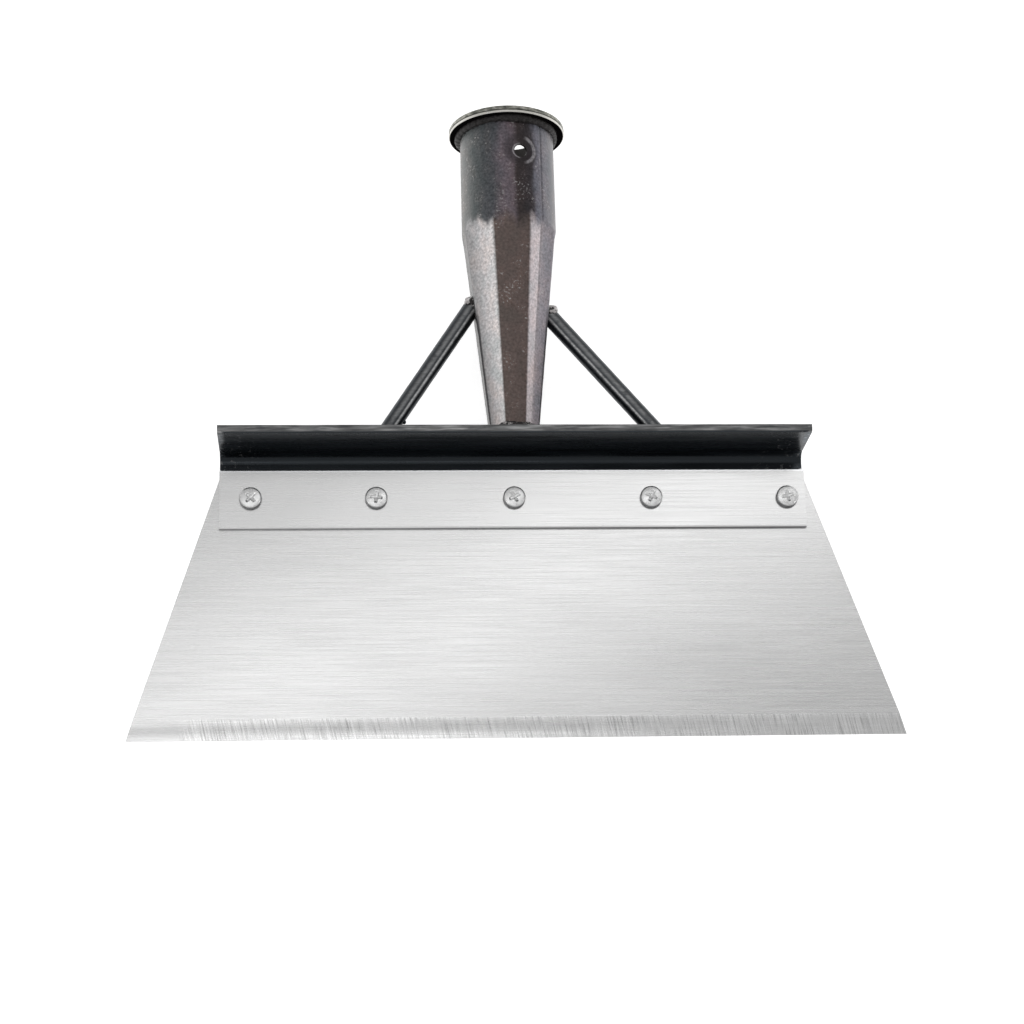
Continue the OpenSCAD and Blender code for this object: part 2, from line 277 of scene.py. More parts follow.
def angle_wear(tree, place):
    """Uneven over the standing leg's free edge, in chips near each sawn end of its inner face, and
    a few chips further in."""
    parts = add_node(tree, "SeparateXYZ", {0: place})
    ragged = grain(tree, place, (0.008, 0.002, 0.0015), detail=4.0)
    edge = span(tree, parts.outputs["Z"], angle_high.z - worn_strip, angle_high.z - worn_strip / 4)
    edge = maths(tree, "MULTIPLY", edge, span(tree, ragged, 0.25, 0.60, 0.35, 1.0))
    off_middle = maths(tree, "ABSOLUTE", parts.outputs["X"])
    end = span(tree, off_middle, angle_high.x - worn_end, angle_high.x - worn_end / 3)
    upper_part = span(tree, parts.outputs["Z"], worn_end_bottom, worn_end_bottom + 0.006)
    end = maths(tree, "MULTIPLY", end, upper_part)
    chips = grain(tree, place, (0.0018, 0.0018, 0.0018), detail=3.0)
    end = maths(tree, "MULTIPLY", end, span(tree, chips, 0.36, 0.52, 0.15, 0.9))
    near_end = span(tree, off_middle, angle_high.x - scuffed_end, angle_high.x - scuffed_most)
    scuffs = maths(tree, "MULTIPLY", near_end, span(tree, chips, 0.60, 0.72, 0.0, 0.45))
    return maths(tree, "MAXIMUM", maths(tree, "MAXIMUM", edge, end), scuffs)


angle.data.materials.append(black_paint("worn_black_paint", angle_wear, (0.09, 0.22, 0.48)))


# ---- Screws ------------------------------------------------------------------------------------
# Plated M5 screws with low round heads and a cross recess. Each stopped at its own angle when it
# was tightened. Painted shade darkens the lower part of each head's side, and its recess a little.
screw_count = 5
head_rounding = 0.0008
head_dome = 0.00025
recess_length, recess_width, recess_depth = 0.0048, 0.0011, 0.0008
thread_pitch, thread_depth = 0.0008, 0.00045
thread_length, thread_core = 0.0095, 0.0020
shank_radius = 0.0025
cross_soft, cross_floor_rise = 0.00022, 0.55
painted_shade_from, painted_shade_to = 0.0016, 0.0023


def grid_faces(rows, columns, wraps):
    """The four corners of each cell of a grid of points, counted row by row. A grid that wraps
    joins its last column to its first."""
    row = np.arange(rows - 1)[:, None] * columns
    column = np.arange(columns if wraps else columns - 1)[None, :]
    following = (column + 1) % columns
    cells = [row + column, row + following, row + columns + following, row + columns + column]
    return np.stack(cells, axis=-1).reshape(-1, 4)


def welded_piece(name, grids, stands_for, material, sharp=32.0, marks=None):
    """One closed mesh from grids of points (rows, columns, 3), in metres. Points that meet are
    merged, faces point outwards, and marks are values from 0 to 1, one array for each grid."""
    points, faces, start = [], [], 0
    for grid, wraps in grids:
        points.append(grid.reshape(-1, 3))
        faces.append(grid_faces(grid.shape[0], grid.shape[1], wraps) + start)
        start += grid.shape[0] * grid.shape[1]
    return piece_from_faces(name, np.concatenate(points), np.concatenate(faces), stands_for,
                            material, sharp, marks)


def piece_from_faces(name, points, faces, stands_for, material, sharp=32.0, marks=None):
    """The same from a list of points and a list of four-cornered faces."""
    mesh = bpy.data.meshes.new(name)
    mesh.from_pydata(points.tolist(), [], faces.tolist())
    if marks is not None:
        values = np.concatenate([m.ravel() for m in marks]).astype(np.float32)
        mesh.attributes.new("mark", "FLOAT", "POINT").data.foreach_set("value", values)
    shape = bmesh.new()
    shape.from_mesh(mesh)
    bmesh.ops.remove_doubles(shape, verts=shape.verts, dist=2e-6)
    bmesh.ops.recalc_face_normals(shape, faces=shape.faces)
    shape.to_mesh(mesh)
    shape.free()
    mesh.shade_smooth()
    mesh.set_sharp_from_angle(angle=math.radians(sharp))
    mesh.materials.append(material)
    piece = bpy.data.objects.new(name, mesh)
    scene.collection.objects.link(piece)
    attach(piece, "root")
    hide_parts(*stands_for)
    return piece


def smooth_step(value, low, high):
    """0 below low, 1 above high, and an even curve between them."""
    t = np.clip((value - low) / (high - low), 0, 1)
    return t * t * (3 - 2 * t)


def recess_turn(i):
    """The angle, in degrees, at which screw i stopped."""
    return 37 * i + 8


material, tree, shader, place = new_finish("plated_steel", Metallic=1.0)
mark = add_node(tree, "Attribute", attribute_name="mark").outputs["Fac"]
mottle = grain(tree, place, (0.0012, 0.0012, 0.0012))
plating = tones(tree, mottle, [(0.3, 0.76), (0.7, 0.90)])
# Painted shade: the lower part of each head's side, and its recess a little, go dark.
head_painted_shade = blend(tree, mark, plating, (0.13, 0.13, 0.135, 1))
tree.links.new(head_painted_shade, shader.inputs["Base Color"])
tree.links.new(span(tree, mottle, 0.3, 0.7, 0.24, 0.38), shader.inputs["Roughness"])
bump(tree, shader, mottle, 0.2, 0.00004)
plated_steel = material


def screw_grid(i):
    """Rows of points from the middle of the head, over its rounded edge, down its side, and down
    a shank that ends in a thread. The recess is a depth taken from the height of the head where
    a point lies within an arm of the cross."""
    low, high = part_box(f"screw_{i}")
    centre = (low + high) / 2
    head_radius = (high.x - low.x) / 2
    seat = plate_high.z
    round_start = head_radius - head_rounding
    angle_round = np.linspace(0, 2 * np.pi, 128, endpoint=False)
    face_r = np.linspace(0, round_start, 34)
    quarter = np.linspace(0, np.pi / 2, 8)[1:]
    edge_r = round_start + head_rounding * np.sin(quarter)
    edge_z = high.z - head_dome - head_rounding * (1 - np.cos(quarter))
    face_z = high.z - head_dome * (face_r / round_start) ** 2
    side_r = np.array([head_radius, head_radius - 0.0001, head_radius - 0.0003, shank_radius])
    side_z = np.array([seat + 0.0004, seat + 0.00015, seat, seat])
    thread_top = low.z + thread_length
    shank_z = np.concatenate([[thread_top + 0.0004], np.linspace(thread_top, low.z + 0.0006, 96),
                              [low.z, low.z]])
    shank_r = np.concatenate([np.full(97, shank_radius), [thread_core, 0.0]])
    radius = np.concatenate([face_r, edge_r, side_r, shank_r])[:, None] + 0 * angle_round
    height = np.concatenate([face_z, edge_z, side_z, shank_z])[:, None] + 0 * angle_round
    arm_x = np.abs(radius * np.cos(angle_round - math.radians(recess_turn(i))))
    arm_y = np.abs(radius * np.sin(angle_round - math.radians(recess_turn(i))))
    beside, out = np.minimum(arm_x, arm_y), np.maximum(arm_x, arm_y)
    arm_half, arm_end = recess_width / 2, recess_length / 2
    cross = 1 - smooth_step(beside, arm_half - cross_soft, arm_half + cross_soft)
    cross *= 1 - smooth_step(out, arm_end - 3 * cross_soft, arm_end + cross_soft)
    rows_in_face = np.arange(len(radius))[:, None] < len(face_r)
    height -= cross * recess_depth * (1 - cross_floor_rise * out / arm_end) * rows_in_face
    turns = height / thread_pitch - angle_round / (2 * np.pi)
    cut = 2 * np.abs(turns - np.floor(turns) - 0.5)
    threaded = (height < thread_top) & (height > low.z + 0.0003) & (radius > thread_core + 0.0001)
    radius -= np.where(threaded, thread_depth * cut, 0)
    points = np.stack([centre.x + radius * np.cos(angle_round),
                       centre.y + radius * np.sin(angle_round), height], axis=-1)
    past_face = ~rows_in_face & (radius > shank_radius + 0.0005)
    # Painted shade round the lower part of the head's side, and a little in the recess.
    under = (1 - smooth_step(height, seat + painted_shade_from, seat + painted_shade_to)) * past_face
    return points, np.maximum(under, 0.10 * cross * rows_in_face)


for i in range(1, screw_count + 1):
    grid, painted_shade_marks = screw_grid(i)
    welded_piece(f"clamp_screw_{i}", [(grid, True)], [f"screw_{i}"], plated_steel,
                 sharp=50.0, marks=[painted_shade_marks])


# ---- Nuts and washers --------------------------------------------------------------------------
# Plated hexagon nuts with their corners turned off, over split spring washers pressed flat, on
# the underside of the angle's flat leg.
nut_half_flats, nut_chamfer = 0.004, 0.0006
nut_bore, nut_bore_mouth = 0.00255, 0.0032
washer_split, washer_step = 0.0008, 0.00012

material, tree, shader, place = new_finish("dull_plated_steel", Metallic=1.0)
mottle = grain(tree, place, (0.002, 0.002, 0.002))
tree.links.new(tones(tree, mottle, [(0.3, 0.42), (0.7, 0.62)]), shader.inputs["Base Color"])
tree.links.new(span(tree, mottle, 0.3, 0.7, 0.32, 0.48), shader.inputs["Roughness"])
bump(tree, shader, mottle, 0.2, 0.00005)
dull_plated_steel = material


def nut_grid(i):
    """A ring of rows round the screw. A point lies on the hexagon, or on the cone that turned its
    corners off, whichever is nearer the middle."""
    low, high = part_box(f"nut_{i}")
    centre = (low + high) / 2
    round_angle = np.linspace(0, 2 * np.pi, 144, endpoint=False)
    from_flat = (round_angle - math.radians(recess_turn(i)) + math.pi / 6) % (math.pi / 3) - math.pi / 6
    hexagon = nut_half_flats / np.cos(from_flat)
    rise = np.array([0, 0, 0, 0.15, 0.4, 0.7, 1.0, 1.6])[:, None]
    cone = nut_half_flats + rise * nut_chamfer
    inner = np.array([nut_bore, nut_bore_mouth])[:, None] + 0 * round_angle
    sides = np.minimum(hexagon + 0 * rise[2:], cone[2:])
    lower = np.concatenate([inner, sides])
    lower_z = low.z + np.concatenate([[0.0003, 0, 0], nut_chamfer * rise[3:, 0] / 1.9])
    radius = np.concatenate([lower, lower[::-1], lower[:1]])
    height = np.concatenate([lower_z, (low.z + high.z) - lower_z[::-1], lower_z[:1]])[:, None]
    return np.stack([centre.x + radius * np.cos(round_angle), centre.y + radius * np.sin(round_angle),
                     height + 0 * radius], axis=-1)


def washer_grid(i):
    """A rounded square section carried round an arc that stops short at the split, where one end
    stands a little higher than the other."""
    low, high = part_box(f"lock_washer_{i}")
    centre = (low + high) / 2
    outer = (high.x - low.x) / 2
    inner = shank_radius + 0.00025
    gap = washer_split / 2 / outer
    start = math.radians(recess_turn(i))
    round_angle = np.linspace(start + gap, start + 2 * np.pi - gap, 90)[:, None]
    loop = np.linspace(0, 2 * np.pi, 25)
    square = (np.abs(np.cos(loop)) ** 8 + np.abs(np.sin(loop)) ** 8) ** (-1 / 8)
    radius = (outer + inner) / 2 + (outer - inner) / 2 * square * np.cos(loop)
    half = (high.z - low.z) / 2
    spring = washer_step * (round_angle - start - np.pi) / np.pi / 2
    height = centre.z + (half - washer_step / 2) * square * np.sin(loop) + spring
    ring = np.stack([centre.x + radius * np.cos(round_angle), centre.y + radius * np.sin(round_angle),
                     height], axis=-1)
    ends = [np.repeat(ring[k].mean(0)[None, None], len(loop), axis=1) for k in (0, -1)]
    return np.concatenate([ends[0], ring, ends[1]])


for i in range(1, screw_count + 1):
    welded_piece(f"hexagon_nut_{i}", [(nut_grid(i), True)], [f"nut_{i}"],
                 dull_plated_steel, sharp=25.0)
    welded_piece(f"split_washer_{i}", [(washer_grid(i), False)], [f"lock_washer_{i}"],
                 dull_plated_steel, sharp=40.0)


# ---- Handle socket -----------------------------------------------------------------------------
# A steel tube whose lower part was heated and hammered to eight flats, which left brown and blue
# scale, hammer marks and a seam. The fixing hole was punched, so its edge is dished. Painted light
# lies over the scale's colours: lighter and darker bands round the axis, highlights on the dish's
# edge and a reflection of each brace, with painted shade in the dish and inside the tube.
foot_across = 0.019
flats_length, run_out = 0.084, 0.004
wall = 0.002
corner_sharpness = 90
hammer_depth = 0.00009
seam_angle, seam_width, seam_depth = math.radians(42), 0.00032, 0.00045
dish_radius, dish_depth = 0.0059, 0.0010
mouth_round, edge_clear = 0.0004, 0.0001
block_half, block_cells = 0.0075, 26
lip_from, lip_to = 0.0028, 0.0037
rim_from, rim_to = 0.0046, 0.0066
brace_reflection_bottom, brace_reflection_top = 0.044, 0.056

socket_low, socket_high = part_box("socket_tube")
foot_y, socket_length = socket_low.y, socket_high.y - socket_low.y
socket_axis_z = frame["record"]["mounts"][0]["pos_m"][2]
round_radius = frame["record"]["mounts"][0]["dims"]["r_mm"] / 1000 + wall
hole = frame["record"]["mounts"][1]
hole_radius = hole["dims"]["r_mm"] / 1000
hole_angle = math.atan2(hole["axis"][0], hole["axis"][2])
hole_from_foot = hole["pos_m"][1] - foot_y
top_across = math.pi * round_radius / (4 * math.tan(math.pi / 8))


def socket_radius(angle, from_foot):
    """Distance from the socket's axis to its outer face, before hammering. Each flat, and the
    round bar that the flats were made from, limits the radius, and a high power mean of the
    limits picks the least of them with its corners a little rounded."""
    run = np.clip((from_foot - flats_length) / run_out, 0, 1)
    half = (foot_across + (top_across - foot_across) * np.minimum(from_foot / flats_length, 1)) / 2
    half = half + run * (round_radius + 0.0003 - half)
    corner = top_across / 2 / math.cos(math.pi / 8) + 0.0002
    cap = corner + run * (round_radius - corner)
    cap = np.where(from_foot < flats_length, 4 * round_radius, cap)
    limits = sum((np.maximum(np.cos(angle - k * math.pi / 4), 0) / half) ** corner_sharpness
                 for k in range(8))
    shaped = (limits + (1 / cap) ** corner_sharpness) ** (-1 / corner_sharpness)
    return np.where(run >= 1, round_radius, np.minimum(shaped, cap))


def hammer_marks(angle, from_foot):
    """Shallow dents from 0 to 1: products of waves whose lengths don't divide each other, deep on
    the flats and faint on the round part."""
    u, v = 6 * angle, from_foot * 1000
    waves = np.sin(u + 0.31 * v) * np.sin(0.47 * v - 1.3) + 0.6 * np.sin(2 * u - 0.73 * v + 0.8)
    waves += 0.4 * np.sin(3 * u + 1.21 * v) * np.sin(0.19 * v)
    deep = 0.35 + 0.65 * (1 - smooth_step(from_foot, flats_length - 0.006, flats_length + 0.01))
    return (0.5 + 0.25 * waves) * deep


def socket_point(angle, from_foot, depth, outside):
    """A point at a depth below the outer face. Outside, dents and the seam's groove lower it."""
    radius = socket_radius(angle, from_foot) - depth
    off_seam = (angle - seam_angle + np.pi) % (2 * np.pi) - np.pi
    groove = seam_depth * np.exp(-(off_seam * radius / seam_width) ** 2)
    ends = smooth_step(socket_length - from_foot, 0, 0.004) * smooth_step(from_foot, 0, 0.004)
    radius = radius - outside * (hammer_depth * hammer_marks(angle, from_foot) + groove) * ends
    return np.stack([radius * np.sin(angle), foot_y + from_foot + 0 * radius,
                     socket_axis_z + radius * np.cos(angle)], axis=-1)


def socket_mesh():
    """The wall is one sheet folded at the mouth: rows run up the outside, over the rim, down the
    inside and across the foot. A block of cells is left out on both sides round the fixing hole,
    and a grid that goes from square to round joins the two blocks through the hole. Marks are 1
    on the inside."""
    half_angle = block_half / round_radius
    block_angles = np.linspace(hole_angle - half_angle, hole_angle + half_angle, block_cells + 1)
    others = np.linspace(hole_angle + half_angle, hole_angle - half_angle + 2 * np.pi, 170)[1:-1]
    seam_lines = seam_angle + np.linspace(-1, 1, 13) * 0.0011 / round_radius
    others = others[np.abs(others - seam_angle) > 0.0013 / round_radius]
    angles = np.concatenate([block_angles, np.sort(np.concatenate([others, seam_lines]))])
    low, high = hole_from_foot - block_half, hole_from_foot + block_half
    block_rows = np.linspace(low, high, block_cells + 1)
    outer = np.concatenate([np.linspace(0, low, 150)[:-1], block_rows,
                            np.linspace(high, socket_length - mouth_round, 14)[1:]])
    inner = np.concatenate([np.linspace(high, socket_length - mouth_round, 5)[:0:-1], block_rows[::-1],
                            np.linspace(0, low, 40)[-2::-1]])
    rim_turn = np.linspace(0, np.pi / 2, 5)[1:]
    rim_out = socket_length - mouth_round * (1 - np.sin(rim_turn))
    rim_depth = mouth_round * (1 - np.cos(rim_turn))
    rows = np.concatenate([outer, rim_out, rim_out[::-1], inner, [0.0]])
    depth = np.concatenate([0 * outer, rim_depth, wall - rim_depth[::-1], 0 * inner + wall, [0.0]])
    outside = np.concatenate([0 * outer + 1, 0 * rim_out, 0 * rim_out, 0 * inner, [0.0]])
    points = socket_point(angles[None, :], rows[:, None], depth[:, None], outside[:, None])
    faces = grid_faces(len(rows), len(angles), True)
    row, column = faces[:, 0] // len(angles), faces[:, 0] % len(angles)
    this_row, next_row = rows[row], rows[np.minimum(row + 1, len(rows) - 1)]
    block_low, block_high = low - 1e-9, high + 1e-9
    in_outer = (this_row > block_low) & (next_row < block_high) & (row < len(outer))
    in_inner = (this_row < block_high) & (next_row > block_low) & (row > len(outer) + 2 * len(rim_out))
    in_block = (column < block_cells) & (in_outer | in_inner)
    side = np.linspace(-1, 1, block_cells + 1)[:-1]
    one = np.ones(block_cells)
    square = block_half * np.concatenate([
        np.stack([side, -one], -1), np.stack([one, side], -1),
        np.stack([-side, one], -1), np.stack([-one, -side], -1)])
    way = square / np.linalg.norm(square, axis=1, keepdims=True)
    to_dish = np.linspace(0, 1, 5)[:, None, None]
    rings = list(square * (1 - to_dish) + way * dish_radius * to_dish)
    rings += [way * r for r in np.linspace(dish_radius, hole_radius, 12)[1:]]
    sunk = [dish_depth * (1 - smooth_step(np.linalg.norm(ring, axis=1), hole_radius, dish_radius))
            for ring in rings]
    front_count = len(rings)
    back_edge = hole_radius + edge_clear
    rings += [way * hole_radius, way * back_edge]
    rings += list(way * back_edge * (1 - to_dish[1:]) + square * to_dish[1:])
    back_count = len(rings) - front_count
    sunk += [np.full(4 * block_cells, wall - 0.0003)] + [np.full(4 * block_cells, wall)] * (back_count - 1)
    in_back = np.arange(len(rings)) >= front_count
    ring = np.array(rings)
    patch = socket_point(hole_angle + ring[..., 0] / round_radius, hole_from_foot + ring[..., 1],
                         np.array(sunk), 1.0 - in_back[:, None])
    patch_faces = grid_faces(patch.shape[0], patch.shape[1], True) + points.shape[0] * points.shape[1]
    inner_marks = [np.repeat(depth >= wall - mouth_round, len(angles)),
                   np.repeat(in_back, 4 * block_cells)]
    return (np.concatenate([points.reshape(-1, 3), patch.reshape(-1, 3)]),
            np.concatenate([faces[~in_block], patch_faces]), inner_marks)


def around_axis(tree, place):
    """How far round the socket a point is: 0 underneath, a half on top, 1 underneath again."""
    parts = add_node(tree, "SeparateXYZ", {0: place})
    across = maths(tree, "SUBTRACT", parts.outputs["Z"], socket_axis_z)
    turn = maths(tree, "ARCTAN2", parts.outputs["X"], across)
    return span_even(tree, turn, -math.pi, math.pi), parts.outputs["Y"]


def span_even(tree, value, low, high):
    """value carried evenly from low..high to 0..1."""
    return add_node(tree, "MapRange", {"Value": value, "From Min": low, "From Max": high}).outputs[0]


def beside_hole(tree, place):
    """How far a point is from the fixing hole's axis, and how far to its right."""
    off = add_node(tree, "VectorMath", {0: place, 1: tuple(hole["pos_m"])}, operation="SUBTRACT").outputs[0]
    axis = tuple(hole["axis"])
    across = add_node(tree, "VectorMath", {0: off, 1: axis}, operation="CROSS_PRODUCT").outputs[0]
    length = add_node(tree, "VectorMath", {0: across}, operation="LENGTH").outputs["Value"]
    return length, add_node(tree, "SeparateXYZ", {0: off}).outputs["X"]


def degrees(angle):
    """An angle from the socket's top, to the right, as a place from 0 to 1 round it."""
    return angle / 360 + 0.5


material, tree, shader, place = new_finish("hammered_dark_steel")
true_turn, y = around_axis(tree, place)
wander = grain(tree, place, (0.006, 0.014, 0.006), detail=2.0)
turned = maths(tree, "ADD", true_turn, span(tree, wander, 0.2, 0.8, -0.012, 0.012))
# Painted reflections: bands of lighter and darker tone round the round part, over the scale's colours.
round_scale_and_painted_light = tones(tree, turned, [
    (degrees(-150), (0.10, 0.095, 0.095)), (degrees(-72), (0.17, 0.175, 0.17)),
    (degrees(-48), (0.085, 0.095, 0.095)), (degrees(-22), (0.10, 0.105, 0.115)),
    (degrees(-10), (0.18, 0.155, 0.175)), (degrees(4), (0.14, 0.115, 0.13)),
    (degrees(11), (0.045, 0.036, 0.036)), (degrees(26), (0.05, 0.045, 0.05)),
    (degrees(34), (0.17, 0.17, 0.20)), (degrees(50), (0.16, 0.16, 0.175)),
    (degrees(80), (0.17, 0.17, 0.175)), (degrees(150), (0.10, 0.095, 0.095))])
# Painted light on the flats: the flats beside the top one are lighter than the top and side flats, by how
# each faces the light, over the scale's brown.
flat_tone = tones(tree, true_turn, [
    (degrees(-150), (0.10, 0.095, 0.095)), (degrees(-68), (0.17, 0.17, 0.17)),
    (degrees(-66), (0.30, 0.30, 0.30)), (degrees(-45), (0.55, 0.54, 0.54)),
    (degrees(-22.8), (0.72, 0.71, 0.70)), (degrees(-22.2), (0.125, 0.098, 0.088)),
    (degrees(22.2), (0.115, 0.088, 0.080)), (degrees(22.8), (0.52, 0.48, 0.49)),
    (degrees(40), (0.52, 0.48, 0.49)), (degrees(46), (0.28, 0.26, 0.28)),
    (degrees(68), (0.20, 0.19, 0.21)), (degrees(150), (0.10, 0.095, 0.095))])
flats_top = foot_y + flats_length
rough_join = maths(tree, "ADD", y, span(tree, wander, 0.2, 0.8, -0.004, 0.004))
tone = blend(tree, span(tree, rough_join, flats_top + 0.006, flats_top - 0.002), round_scale_and_painted_light, flat_tone)
scale_grain = grain(tree, place, (0.0010, 0.0010, 0.0010), detail=5.0)
patches = grain(tree, place, (0.005, 0.009, 0.005), detail=3.0)
scale_depth = tones(tree, scale_grain, [(0.30, 0.62), (0.50, 0.96), (0.70, 1.35)])
tone = blend(tree, 1.0, tone, scale_depth, "MULTIPLY")
tone = blend(tree, 1.0, tone, tones(tree, patches, [
    (0.32, (0.88, 0.91, 0.92)), (0.50, (1.0, 0.98, 0.99)), (0.68, (1.10, 1.02, 1.0))]), "MULTIPLY")
specks = grain(tree, place, (0.0009, 0.0009, 0.0009), detail=2.0)
bare = maths(tree, "MULTIPLY", span(tree, specks, 0.55, 0.76, 0, 0.8), span(tree, patches, 0.48, 0.64))
tone = blend(tree, bare, tone, (0.44, 0.43, 0.43, 1))
from_hole, right_of_hole = beside_hole(tree, place)
# Painted shade in and round the dish of the fixing hole.
dark_ring = maths(tree, "MULTIPLY", span(tree, from_hole, dish_radius + 0.0022, dish_radius), 0.55)
tone = blend(tree, dark_ring, tone, (0.030, 0.025, 0.027, 1))
# Painted highlights: crescents on the dish's lip and rim, on the right of the hole only.
lip = maths(tree, "MULTIPLY", span(tree, from_hole, lip_from, lip_from + 0.0002),
            span(tree, from_hole, lip_to, lip_to - 0.0004))
lip = maths(tree, "MULTIPLY", lip, span(tree, right_of_hole, 0.0005, -0.0015))
rim = maths(tree, "MULTIPLY", span(tree, from_hole, rim_from, rim_from + 0.0007),
            span(tree, from_hole, rim_to, rim_to - 0.0008))
rim = maths(tree, "MULTIPLY", rim, span(tree, right_of_hole, 0.0010, 0.0035))
painted_glints = maths(tree, "MULTIPLY", maths(tree, "MAXIMUM", lip, rim),
               span(tree, scale_grain, 0.3, 0.6, 0.35, 1.0))
tone = blend(tree, maths(tree, "MULTIPLY", painted_glints, 0.75), tone, (0.42, 0.40, 0.42, 1))
# A painted reflection of each brace: a dark line down the corner between flats, below the brace tops.
side_edge = maths(tree, "ABSOLUTE", maths(tree, "SUBTRACT", true_turn, 0.5))
off_brace_reflection = maths(tree, "ABSOLUTE", maths(tree, "SUBTRACT", side_edge, 67.5 / 360))
crease = maths(tree, "MULTIPLY", span(tree, off_brace_reflection, 0.016, 0.007),
               span(tree, y, foot_y + brace_reflection_top, foot_y + brace_reflection_bottom, 0, 0.85))
tone = blend(tree, crease, tone, (0.03, 0.027, 0.030, 1))
# Painted shade inside the tube: a dull, brownish near-black.
inner_wall = add_node(tree, "Attribute", attribute_name="mark").outputs["Fac"]
tone = blend(tree, inner_wall, tone, (0.022, 0.018, 0.016, 1))
tree.links.new(tone, shader.inputs["Base Color"])
metal = maths(tree, "SUBTRACT", 0.8, maths(tree, "MULTIPLY", inner_wall, 0.5))
tree.links.new(metal, shader.inputs["Metallic"])
tree.links.new(span(tree, scale_grain, 0.3, 0.7, 0.30, 0.50), shader.inputs["Roughness"])
bump(tree, shader, scale_grain, 0.45, 0.00015)
points, faces, inner_marks = socket_mesh()
piece_from_faces("handle_socket", points, faces, ["socket_tube"], material,
                 marks=inner_marks)


# ---- Ring --------------------------------------------------------------------------------------
# A flat steel ring welded round the mouth so that it doesn't split. Its rim is scuffed to grey,
# with a fine groove round it that carries painted shade and a bright line round its back corner
# that is worn steel with a painted highlight. Its underside is black from the welding, deepened to
# near black as painted shade.
rim_round, groove_depth, groove_half = 0.00055, 0.00022, 0.00022
groove_place = 0.40

ring_low, ring_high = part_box("socket_ring")
ring_outer, ring_inner = (ring_high.x - ring_low.x) / 2, round_radius + 0.0001
ring_back = ring_low.y


def turned_grid(profile, columns=256):
    """A closed profile of (radius, y) rows turned round the socket's axis."""
    angle = np.linspace(0, 2 * np.pi, columns, endpoint=False)
    radius = profile[:, :1] + 0 * angle
    y = profile[:, 1:] + 0 * angle
    return np.stack([radius * np.sin(angle), y, socket_axis_z + radius * np.cos(angle)], axis=-1)


corner = np.linspace(0, np.pi / 2, 6)
thickness = ring_high.y - ring_low.y
rim_y = np.linspace(rim_round, thickness - rim_round, 24)
groove = groove_depth * np.exp(-((rim_y - groove_place * thickness) / groove_half) ** 2)
ring_profile = np.concatenate([
    [[ring_inner, 0.0]],
    np.stack([ring_outer - rim_round * (1 - np.sin(corner)), rim_round * (1 - np.cos(corner))], -1),
    np.stack([ring_outer - groove, rim_y], -1)[1:-1],
    np.stack([ring_outer - rim_round * (1 - np.cos(corner)),
              thickness - rim_round * (1 - np.sin(corner))], -1),
    [[ring_inner, thickness]], [[ring_inner, 0.0]]])
ring_profile[:, 1] += ring_back

material, tree, shader, place = new_finish("scuffed_ring_steel", Specular_IOR_Level=0.0)
y = add_node(tree, "SeparateXYZ", {0: place}).outputs["Y"]
scuffs = grain(tree, place, (0.0022, 0.0009, 0.0022), detail=4.0)
rim_tone = tones(tree, scuffs, [
    (0.30, (0.09, 0.095, 0.085)), (0.50, (0.24, 0.24, 0.21)), (0.70, (0.50, 0.49, 0.45))])
# Worn steel with a painted highlight: a bright line round the rim's back corner.
lip = span(tree, y, ring_back + 0.0010, ring_back + 0.0007)
rim_tone = blend(tree, maths(tree, "MULTIPLY", lip, 0.8), rim_tone, (0.72, 0.70, 0.66, 1))
# Painted shade along the groove.
in_groove = maths(tree, "ABSOLUTE", maths(tree, "SUBTRACT", y, ring_back + groove_place * thickness))
rim_tone = blend(tree, span(tree, in_groove, 0.0003, 0.0001), rim_tone, (0.06, 0.06, 0.055, 1))
# Black from the welding, with painted shade: the underside.
underside = span(tree, y, ring_back + 0.00012, ring_back + 0.00002)
tree.links.new(blend(tree, underside, rim_tone, (0.0035, 0.0030, 0.0032, 1)), shader.inputs["Base Color"])
tree.links.new(maths(tree, "SUBTRACT", 1.0, underside), shader.inputs["Metallic"])
tree.links.new(span(tree, scuffs, 0.3, 0.7, 0.30, 0.48), shader.inputs["Roughness"])
bump(tree, shader, scuffs, 0.3, 0.0001)
welded_piece("mouth_ring", [(turned_grid(ring_profile), True)], ["socket_ring"],
             material)


# ---- Welds -------------------------------------------------------------------------------------
# Beads run by hand with a stick electrode and left as they cooled: a row of overlapping ripples
# that swells and shrinks, black with scale and bright where the slag was chipped away.
ring_weld_size, foot_weld_size = 0.0020, 0.0028
ripple_depth = 0.10
foot_ripples, ring_ripples, collar_ripples = 26, 44, 16


def weld_metal(name, bright_from):
    """Black scale with bright chipped patches, fewer the higher bright_from is."""
    material, tree, shader, place = new_finish(name, Specular_IOR_Level=0.15)
    scale_grain = grain(tree, place, (0.0010, 0.0010, 0.0010), detail=5.0)
    chipped = grain(tree, place, (0.0016, 0.0016, 0.0016), detail=2.0)
    scale_tone = tones(tree, scale_grain, [(0.3, (0.008, 0.007, 0.007)), (0.7, (0.040, 0.036, 0.036))])
    bright_chips = span(tree, chipped, bright_from, bright_from + 0.12)
    tone = blend(tree, bright_chips, scale_tone, (0.45, 0.43, 0.43, 1))
    tree.links.new(tone, shader.inputs["Base Color"])
    tree.links.new(bright_chips, shader.inputs["Metallic"])
    tree.links.new(span(tree, scale_grain, 0.3, 0.7, 0.30, 0.50), shader.inputs["Roughness"])
    bump(tree, shader, scale_grain, 0.5, 0.0002)
    return material


def bead_swell(angle, ripples, seed):
    """How much a bead's size changes along it: slow swelling plus one ripple for each drop of
    metal, each steep on one side."""
    slow = 0.10 * np.sin(3 * angle + seed) + 0.07 * np.sin(7 * angle + 2.1 * seed)
    phase = ripples * angle / (2 * np.pi)
    return 0.92 + slow + ripple_depth * (phase - np.floor(phase))


